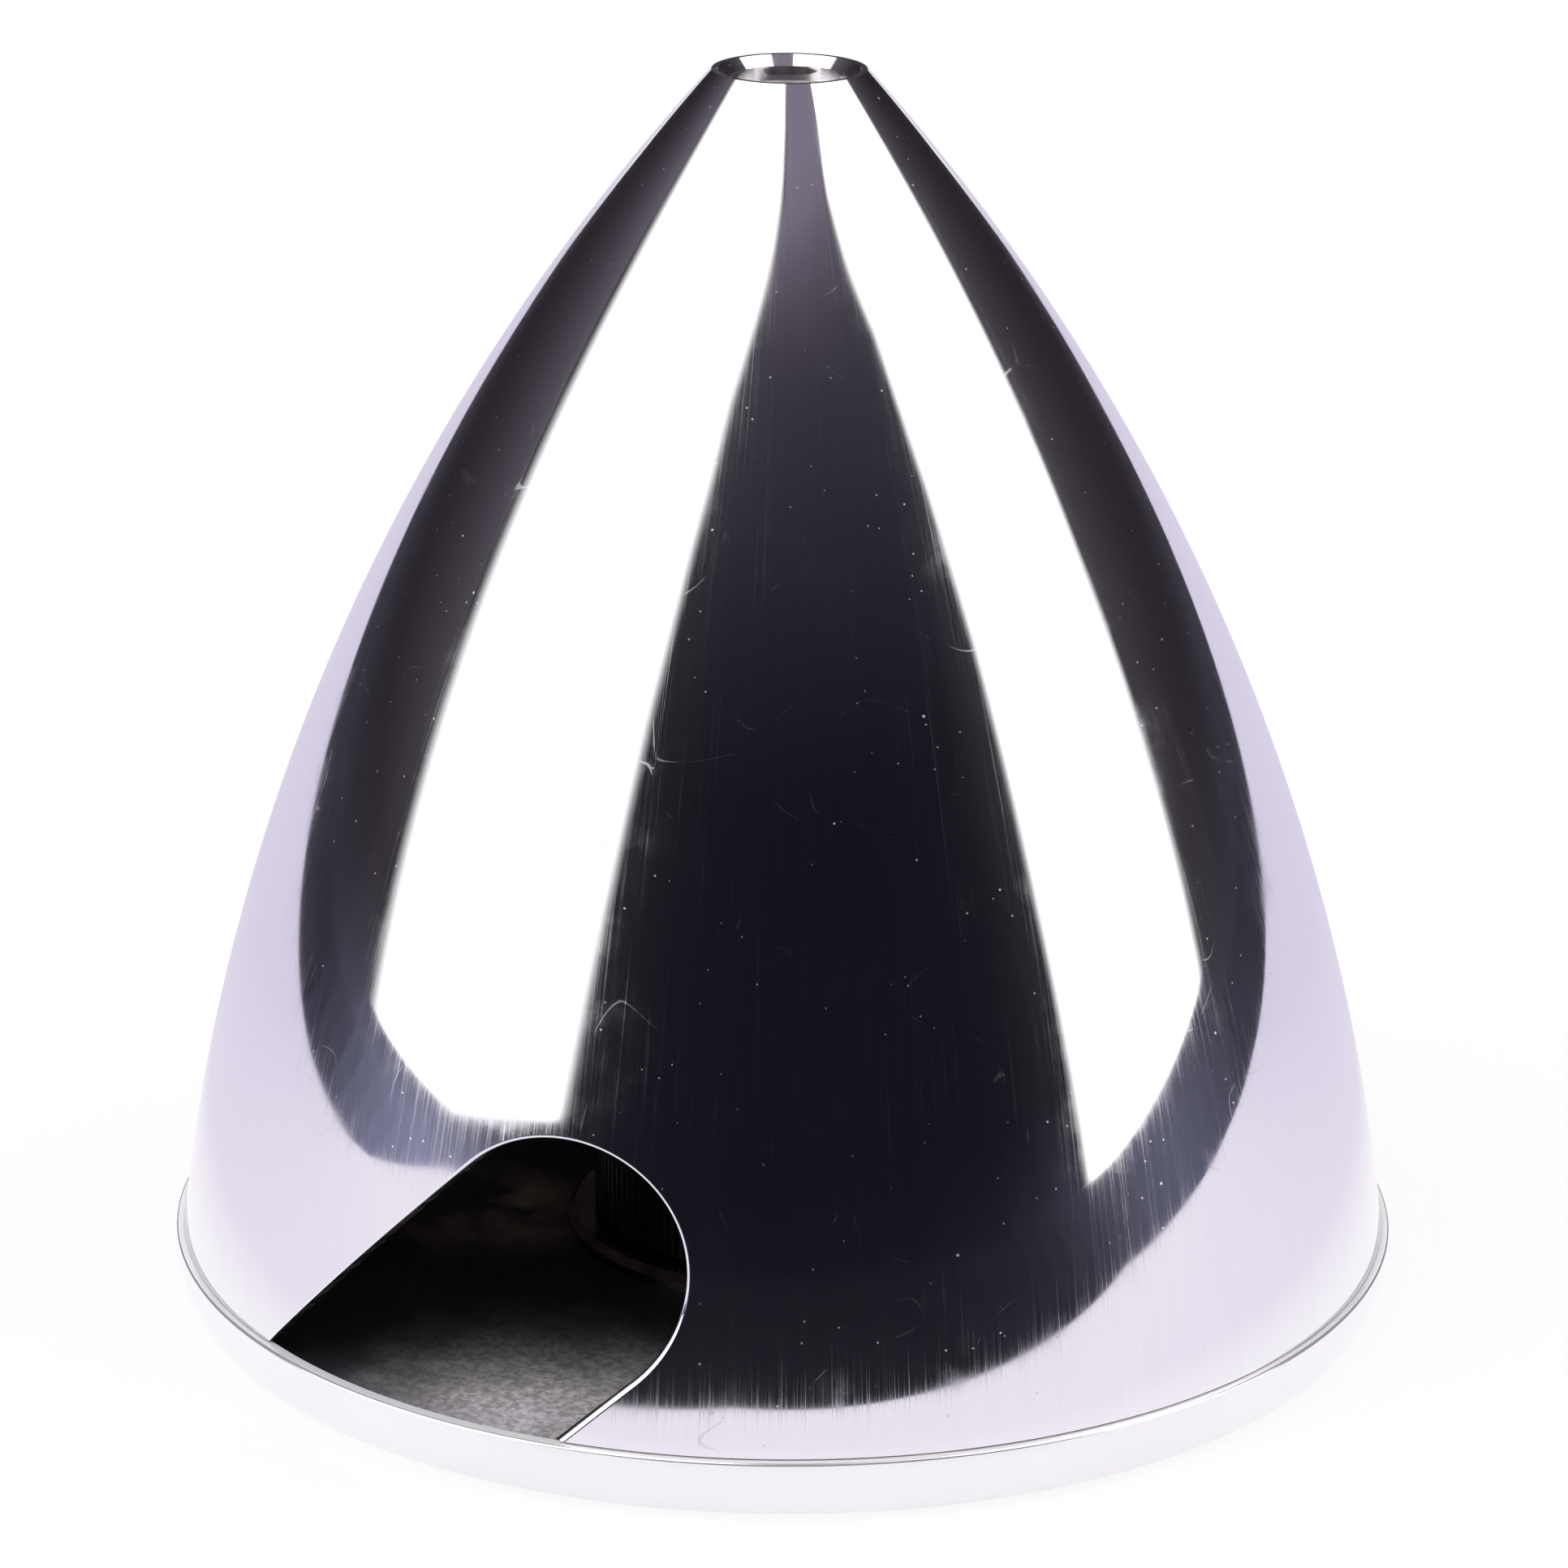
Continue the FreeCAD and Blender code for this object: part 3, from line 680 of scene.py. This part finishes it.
def satin_aluminium():
    """The turned rim and faces of the backplate: pale satin, with faint lathe rings."""
    metal = Surface("satin_aluminium_look", (0.95, 0.94, 0.965), 0.22)
    metal.shader.inputs["Metallic"].default_value = 0.72
    rings = metal.noise(metal.along(0.8, 3000), detail=2)
    patch = metal.noise(metal.place, scale=90, detail=3)
    metal.tint(patch, (0.9, 0.89, 0.92), (0.97, 0.96, 0.985))
    metal.roughen(metal.maths("ADD", metal.ramp(rings, 0.3, 0.7, 0.1, 0.15),
                              metal.ramp(patch, 0.4, 0.7, 0.0, 0.05)))
    metal.bump(rings, 0.0003 * MM)
    return metal.material


def fine_turned():
    """The ledge that the cone stands on: finely turned and pale, with no polish."""
    metal = Surface("fine_turned_look", (0.97, 0.96, 0.98), 0.35)
    metal.shader.inputs["Metallic"].default_value = 0.15
    rings = metal.noise(metal.along(0.8, 5000), detail=1)
    metal.tint(rings, (0.93, 0.92, 0.95), (1.0, 0.99, 1.0))
    return metal.material


def blasted_floor():
    """The recess floor, blasted to an even grain: dark with painted shade, with a painted pool of light
    at each slot's right foot and, behind it, a brown stain that is partly painted light.
    """
    metal = Surface("blasted_floor_look", (0.5, 0.49, 0.5), 0.6)
    metal.shader.inputs["Metallic"].default_value = 0.05
    grain = metal.noise(metal.place, scale=2200, detail=2, roughness=0.6)
    patch = metal.noise(metal.place, scale=150, detail=3)
    ragged = metal.ramp(patch, 0.3, 0.7, -2 * MM, 2 * MM)
    edge = metal.maths("ADD", metal.by_slots(LIT_POOL_SPOT), ragged)
    # Painted light and shade: the base colour is bright near each slot's spot, as a pool of light come in
    # through the slot, and dark beyond it as painted shade.
    painted_light_pool = metal.maths("POWER", metal.ramp(edge, 15 * MM, 2 * MM), 1.6)
    metal.tint(metal.maths("MULTIPLY", painted_light_pool, metal.ramp(grain, 0.36, 0.64, 0.5, 1.0)),
               (0.035, 0.032, 0.04), (1.0, 0.96, 1.0))
    # A brown stain behind each slot: partly the floor's own colour and partly painted light that
    # brightens the dark floor there.
    stain_and_painted_light = metal.ramp(metal.maths("ADD", metal.by_slots(BROWN_STAIN_AND_LIGHT_SPOT), ragged), 8 * MM, 2 * MM)
    metal.stain(metal.maths("MULTIPLY", stain_and_painted_light, metal.ramp(patch, 0.4, 0.6)), (0.8, 0.58, 0.5))
    metal.roughen(metal.ramp(patch, 0.3, 0.7, 0.5, 0.65))
    metal.bump(grain, 0.05 * MM)
    return metal.material


def small_steel(name, colour, roughness, spread):
    """A small turned piece: one even finish with fine rings and faint stains."""
    metal = Surface(name, colour, roughness)
    rings = metal.noise(metal.along(2, 2400), detail=2)
    stains = metal.noise(metal.place, scale=300, detail=3)
    metal.tint(metal.ramp(stains, 0.35, 0.7), tuple(share * 0.75 for share in colour), colour)
    metal.roughen(metal.ramp(rings, 0.3, 0.7, roughness, roughness + spread))
    metal.bump(rings, 0.003 * MM)
    return metal.material


# Each small piece's material: its name, its colour, its roughness and how far that varies.
SMALL_PIECES = {
    "drive_collar": ("black_steel_look", (0.16, 0.15, 0.15), 0.28, 0.12),
    "shaft_bush": ("bush_brass_look", (0.78, 0.58, 0.27), 0.2, 0.12),
    "prop_washer": ("washer_steel_look", (0.62, 0.62, 0.64), 0.22, 0.14),
    "adapter_nut": ("nut_steel_look", (0.55, 0.54, 0.55), 0.24, 0.14),
    "nose_screw": ("screw_steel_look", (0.62, 0.58, 0.58), 0.3, 0.14),
}


# ---------------------------------------------------------------- studio

CAMERA_TURN = math.radians(36.37)                   # the camera's angle about the axis
CAMERA_PITCH = math.radians(18.805)                 # how far it looks down
CAMERA_ROLL = math.radians(-0.332)
CAMERA_LENS = 127.14                                # focal length on a 36 mm sensor, in mm
CAMERA_PLACE = (-0.083, -321.508, 137.159)          # from the middle of the ledge, in mm
FAR = 8.0                                           # radius of the dark room
SOFTBOX_FAR = 0.9 * FAR
TABLE_HOLE_RADIUS = 60 * MM
SHEET_LEVEL, TABLE_LEVEL, FLOOR_LEVEL = -0.05 * MM, -0.07 * MM, -0.1 * MM
SHADE = "shade"                                     # the painted colour of a stage mesh
SOFTBOX_GLOW = 2.0
SHEET_FRONT = (0.88, 0.83, 0.92)
SHEET_BACK = (0.72, 0.67, 0.82)
SHEET_NEAR = (1.0, 0.98, 1.0)
TABLE = (0.009, 0.009, 0.014)
UNDER_LIGHT = (0.22, 0.22, 0.35)


def stage_place(azimuth, elevation, distance):
    """A place seen from the object, in degrees. Azimuth 0 is towards the camera, + to its right."""
    angle = CAMERA_TURN + math.radians(azimuth)
    rise = math.radians(elevation)
    return around(distance * math.cos(rise), angle, distance * math.sin(rise))


def stage_mesh(name, places, faces, material):
    mesh = bpy.data.meshes.new(name)
    mesh.from_pydata([tuple(place) for place in places], [], faces)
    mesh.materials.append(material)
    stage = bpy.data.objects.new(name, mesh)
    bpy.context.scene.collection.objects.link(stage)
    stage.visible_camera = False
    return stage


def glowing(name):
    """A material that only glows, and the socket of its colour."""
    material = bpy.data.materials.new(name)
    material.use_nodes = True
    nodes, links = material.node_tree.nodes, material.node_tree.links
    nodes.clear()
    glow = nodes.new("ShaderNodeEmission")
    out = nodes.new("ShaderNodeOutputMaterial")
    links.new(glow.outputs[0], out.inputs["Surface"])
    return material, glow.inputs["Color"]


def painted_glow(name):
    """A glow in the colours that paint gives the mesh."""
    material, colour = glowing(name)
    source = material.node_tree.nodes.new("ShaderNodeAttribute")
    source.attribute_name = SHADE
    material.node_tree.links.new(source.outputs["Color"], colour)
    return material


def paint(stage, colours):
    shade = stage.data.color_attributes.new(SHADE, "FLOAT_COLOR", "POINT")
    for spot, colour in zip(shade.data, colours):
        spot.color = (*colour, 1)


def between(stops, value):
    """The number that goes with a value, along straight lines between (value, number) stops."""
    for (start, low), (end, high) in zip(stops, stops[1:]):
        if value <= end:
            return low + (high - low) * max(0.0, (value - start) / (end - start))
    return stops[-1][1]


# Edges of the two softboxes: the inner and the outer edge as (elevation, azimuth) stops, and the
# bottom edge as (share of the width from the inner edge, elevation) stops.
LEFT_BOX = (((2.5, -43.5), (15, -40), (30, -36), (40, -32), (50, -26), (55, -19), (61, -9),
             (65, -4), (69, -4), (75, -14)),
            ((2.5, -95.5), (20, -103.5), (40, -112), (60, -128), (85, -150)),
            ((0, 6.3), (0.46, 2.5), (1, 1.6)))
RIGHT_BOX = (((0.5, 59), (15, 57), (30, 56), (40, 54), (50, 50), (56, 43), (62, 39.5),
              (65.5, 52), (72, 66)),
             ((0.5, 97.5), (20, 104), (40, 117), (60, 132), (85, 150)),
             ((0, 0.2), (0.2, 0.4), (1, 2.3)))


def make_softbox(name, edges, inner_fade, outer_fade):
    """A glowing sheet far off. Its glow fades in over a share of its width from either side."""
    inner, outer, bottom = edges
    top, rows, columns = 84.0, 60, 60
    crowding = 1.2                                  # rows lie closer together near the bottom
    places, faces, glows = [], [], []
    for row in range(rows + 1):
        for column in range(columns + 1):
            share = column / columns
            low = between(bottom, share)
            rise = low + (top - low) * (row / rows) ** crowding
            azimuth = between(inner, rise) * (1 - share) + between(outer, rise) * share
            places.append(stage_place(azimuth, rise, SOFTBOX_FAR))
            fade = min(1.0, share / inner_fade, (1 - share) / outer_fade)
            glows.append(SOFTBOX_GLOW * fade * fade * (3 - 2 * fade))
    for row in range(rows):
        for column in range(columns):
            first = row * (columns + 1) + column
            faces.append((first, first + 1, first + columns + 2, first + columns + 1))
    softbox = stage_mesh(name, places, faces, painted_glow(name + "_glow"))
    paint(softbox, [(glow, glow * 0.99, glow) for glow in glows])


def room_colour(azimuth, elevation):
    """The dark room: near black in front, brownish at the sides and greyer overhead."""
    front, side = (0.006, 0.006, 0.011), (0.020, 0.016, 0.021)
    side_lit, top = (0.16, 0.14, 0.18), (0.2, 0.17, 0.23)
    turn = abs(azimuth)
    sideways = between(((45, 0.0), (100, 1.0)), turn)
    lit = between(((98, 1.0), (125, 0.45), (150, 0.1)), turn) * sideways
    lit *= between(((5, 0.0), (36, 1.0)), elevation) * (0.8 if azimuth < 0 else 0.4)
    shade = mixed(front, side, sideways)
    shade = mixed(shade, UNDER_LIGHT, under_softbox(azimuth) * between(((0, 1.0), (5, 0.0)), elevation))
    shade = mixed(shade, side_lit, lit)
    overhead = between(((28, 0.0), (41, 0.06), (51, 0.15), (56, 0.26), (60, 0.55), (64, 1.0)), elevation)
    return mixed(shade, top, overhead)


def mixed(one, other, share):
    return [low + (high - low) * share for low, high in zip(one, other)]


def under_softbox(azimuth):
    """How much of a softbox's light the table throws back, by direction."""
    if azimuth < 0:
        return between(((-112, 0.06), (-100, 0.2), (-92, 0.5), (-76, 1.0), (-60, 0.8), (-48, 0.2),
                        (-36, 0.04), (-20, 0.0)), azimuth)
    return between(((24, 0.0), (40, 0.02), (50, 0.06), (58, 0.15), (68, 0.34), (76, 0.42), (88, 0.28),
                    (100, 0.1), (112, 0.06)), azimuth)


def make_room():
    """A dark dome, open behind the object where the pale background shows above and below a bar."""
    opening_half, opening_top, bar = 20, 42, range(3, 18)
    rise_step, turn_step = 3, 5
    rises = list(range(-6, 90, rise_step)) + [90]
    turns = list(range(-180, 181, turn_step))
    places = [stage_place(turn, rise, FAR) for rise in rises for turn in turns]
    faces = []
    for row in range(len(rises) - 1):
        for column in range(len(turns) - 1):
            behind = abs(turns[column] + turn_step / 2) > 180 - opening_half
            if behind and rises[row] < opening_top and rises[row] not in bar:
                continue
            first = row * len(turns) + column
            faces.append((first, first + 1, first + len(turns) + 1, first + len(turns)))
    room = stage_mesh("dark_room", places, faces, painted_glow("dark_room_glow"))
    paint(room, [room_colour(turn, rise) for rise in rises for turn in turns])
    room.visible_diffuse = False
    room.visible_shadow = False


def in_camera_frame(across, depth, up):
    """A place whose across runs to the picture's right and whose depth runs away from the camera."""
    return Matrix.Rotation(CAMERA_TURN, 3, "Z") @ Vector((across, depth, up))


def make_sheet():
    """The pale sheet that the object stands on, as the metal sees it, and the dark table round it."""
    outline = [(-22, -76), (-10, -84), (144, -84), (188, -56), (251, -1), (300, 64), (348, 163),
               (3300, 6300), (-2700, 6300), (-324, 209), (-294, 129), (-268, 58), (-259, -14),
               (-279, -42), (-348, -78), (-443, -125), (-1157, -457), (-3000, -1350), (-1400, -900),
               (-40, -62)]
    corners = [in_camera_frame(across * MM, depth * MM, SHEET_LEVEL) for across, depth in outline]
    sheet = stage_mesh("pale_sheet", corners, [tuple(range(len(corners)))], sheet_glow())
    turns = range(-180, 181, 4)
    places = [stage_place(turn, 0, reach) + Vector((0, 0, TABLE_LEVEL))
              for turn in turns for reach in (TABLE_HOLE_RADIUS, FAR)]
    faces = [(first, first + 2, first + 3, first + 1) for first in range(0, len(places) - 2, 2)]
    table = stage_mesh("dark_table", places, faces, painted_glow("dark_table_glow"))
    paint(table, [mixed(TABLE, UNDER_LIGHT, under_softbox(turn)) for turn in turns for _ in range(2)])
    for stage in (sheet, table):
        stage.visible_diffuse = False
        stage.visible_shadow = False


def sheet_glow():
    """Near white in front, lavender towards the back, and white close to the object."""
    material, glow_colour = glowing("pale_sheet_glow")
    nodes, links = material.node_tree.nodes, material.node_tree.links
    place = nodes.new("ShaderNodeTexCoord").outputs["Object"]

    def measure(operation, start, end):
        """0 to 1 from start to end, in depth (DOT_PRODUCT) or in distance (LENGTH)."""
        length = nodes.new("ShaderNodeVectorMath")
        length.operation = operation
        links.new(place, length.inputs[0])
        length.inputs[1].default_value = in_camera_frame(0, 1, 0)
        share = nodes.new("ShaderNodeMapRange")
        links.new(length.outputs["Value"], share.inputs["Value"])
        share.inputs["From Min"].default_value = start
        share.inputs["From Max"].default_value = end
        return share.outputs[0]

    def blend(share, near, far):
        mix = nodes.new("ShaderNodeMix")
        mix.data_type = "RGBA"
        links.new(share, mix.inputs["Factor"])
        for colour, socket in ((near, mix.inputs["A"]), (far, mix.inputs["B"])):
            if isinstance(colour, tuple):
                socket.default_value = (*colour, 1)
            else:
                links.new(colour, socket)
        return mix.outputs["Result"]

    depth = blend(measure("DOT_PRODUCT", -50 * MM, 90 * MM), SHEET_FRONT, SHEET_BACK)
    near = blend(measure("LENGTH", 42 * MM, 62 * MM), SHEET_NEAR, depth)
    links.new(near, glow_colour)
    return material


def seen(nodes, links):
    """1 for the rays that the background shows in: camera, glossy and transmission rays."""
    path = nodes.new("ShaderNodeLightPath")
    total = path.outputs["Is Camera Ray"]
    for name in ("Is Glossy Ray", "Is Transmission Ray"):
        add = nodes.new("ShaderNodeMath")
        add.operation = "MAXIMUM"
        links.new(total, add.inputs[0])
        links.new(path.outputs[name], add.inputs[1])
        total = add.outputs[0]
    return total


def make_floor():
    """The white floor. Most of its white is its own, so the object's shadow on it stays soft."""
    own_white, size = 0.8, 12.0
    mesh = bpy.data.meshes.new("floor")
    corners = [(-size, -size), (size, -size), (size, size), (-size, size)]
    mesh.from_pydata([(x, y, FLOOR_LEVEL) for x, y in corners], [], [(0, 1, 2, 3)])
    floor = bpy.data.objects.new("floor", mesh)
    bpy.context.scene.collection.objects.link(floor)
    material = bpy.data.materials.new("floor_white")
    material.use_nodes = True
    nodes, links = material.node_tree.nodes, material.node_tree.links
    nodes.clear()
    plain = nodes.new("ShaderNodeBsdfDiffuse")
    plain.inputs["Color"].default_value = (0.8, 0.8, 0.8, 1)
    glow = nodes.new("ShaderNodeEmission")
    shaded = nodes.new("ShaderNodeMixShader")
    shaded.inputs[0].default_value = own_white
    white = nodes.new("ShaderNodeBsdfDiffuse")
    white.inputs["Color"].default_value = (1, 1, 1, 1)
    links.new(white.outputs[0], shaded.inputs[1])
    links.new(glow.outputs[0], shaded.inputs[2])
    mix = nodes.new("ShaderNodeMixShader")
    links.new(seen(nodes, links), mix.inputs[0])
    links.new(plain.outputs[0], mix.inputs[1])
    links.new(shaded.outputs[0], mix.inputs[2])
    out = nodes.new("ShaderNodeOutputMaterial")
    links.new(mix.outputs[0], out.inputs["Surface"])
    mesh.materials.append(material)


def make_world():
    """White where the background shows, and plain soft light for everything else."""
    world = bpy.data.worlds.new("studio")
    bpy.context.scene.world = world
    world.use_nodes = True
    nodes, links = world.node_tree.nodes, world.node_tree.links
    nodes.clear()
    light = nodes.new("ShaderNodeBackground")
    light.inputs["Color"].default_value = (0.55, 0.55, 0.57, 1)
    white = nodes.new("ShaderNodeBackground")
    white.inputs["Color"].default_value = (1, 1, 1, 1)
    mix = nodes.new("ShaderNodeMixShader")
    links.new(seen(nodes, links), mix.inputs[0])
    links.new(light.outputs[0], mix.inputs[1])
    links.new(white.outputs[0], mix.inputs[2])
    out = nodes.new("ShaderNodeOutputWorld")
    links.new(mix.outputs[0], out.inputs["Surface"])


def make_camera():
    """At the photograph's viewing angle: higher than the nose, and looking down at the cone."""
    pitch, roll = CAMERA_PITCH, CAMERA_ROLL
    lens = bpy.data.cameras.new("camera")
    lens.lens = CAMERA_LENS
    lens.sensor_width = 36.0
    lens.clip_start = 0.01
    ahead = Vector((0, math.cos(pitch), -math.sin(pitch)))
    down = Vector((0, -math.sin(pitch), -math.cos(pitch)))
    across = Vector((math.cos(roll), 0, 0)) + math.sin(roll) * down
    below = math.cos(roll) * down - Vector((math.sin(roll), 0, 0))
    axes = Matrix((across, -below, -ahead)).transposed()
    turn = Matrix.Rotation(CAMERA_TURN, 3, "Z")
    place = turn @ (Vector(CAMERA_PLACE) + Vector((0, 0, LEDGE / MM))) * MM
    camera = bpy.data.objects.new("camera", lens)
    camera.matrix_world = Matrix.Translation(place) @ (turn @ axes).to_4x4()
    bpy.context.scene.collection.objects.link(camera)
    bpy.context.scene.camera = camera


# ---------------------------------------------------------------- build

cone = make_cone([polished_aluminium(), turned_inside(), milled_wall()])
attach(cone, "root")
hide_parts("spinner_cone")

backplate = make_backplate([satin_aluminium(), blasted_floor(), shaded_boss(), fine_turned()])
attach(backplate, "root")
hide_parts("backplate")

for node_name, finish in SMALL_PIECES.items():
    metal = small_steel(*finish)
    for material_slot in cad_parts[node_name].material_slots:
        material_slot.material = metal
# The two pieces that the cone and backplate above replace get their metals too.
for node_name, stand_in in (("spinner_cone", cone), ("backplate", backplate)):
    for material_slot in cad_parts[node_name].material_slots:
        material_slot.material = stand_in.data.materials[0]

make_world()
make_room()
make_softbox("left_softbox", LEFT_BOX, 0.07, 0.14)
make_softbox("right_softbox", RIGHT_BOX, 0.07, 0.1)
make_sheet()
make_floor()
make_camera()
bpy.context.scene.view_settings.view_transform = "Standard"
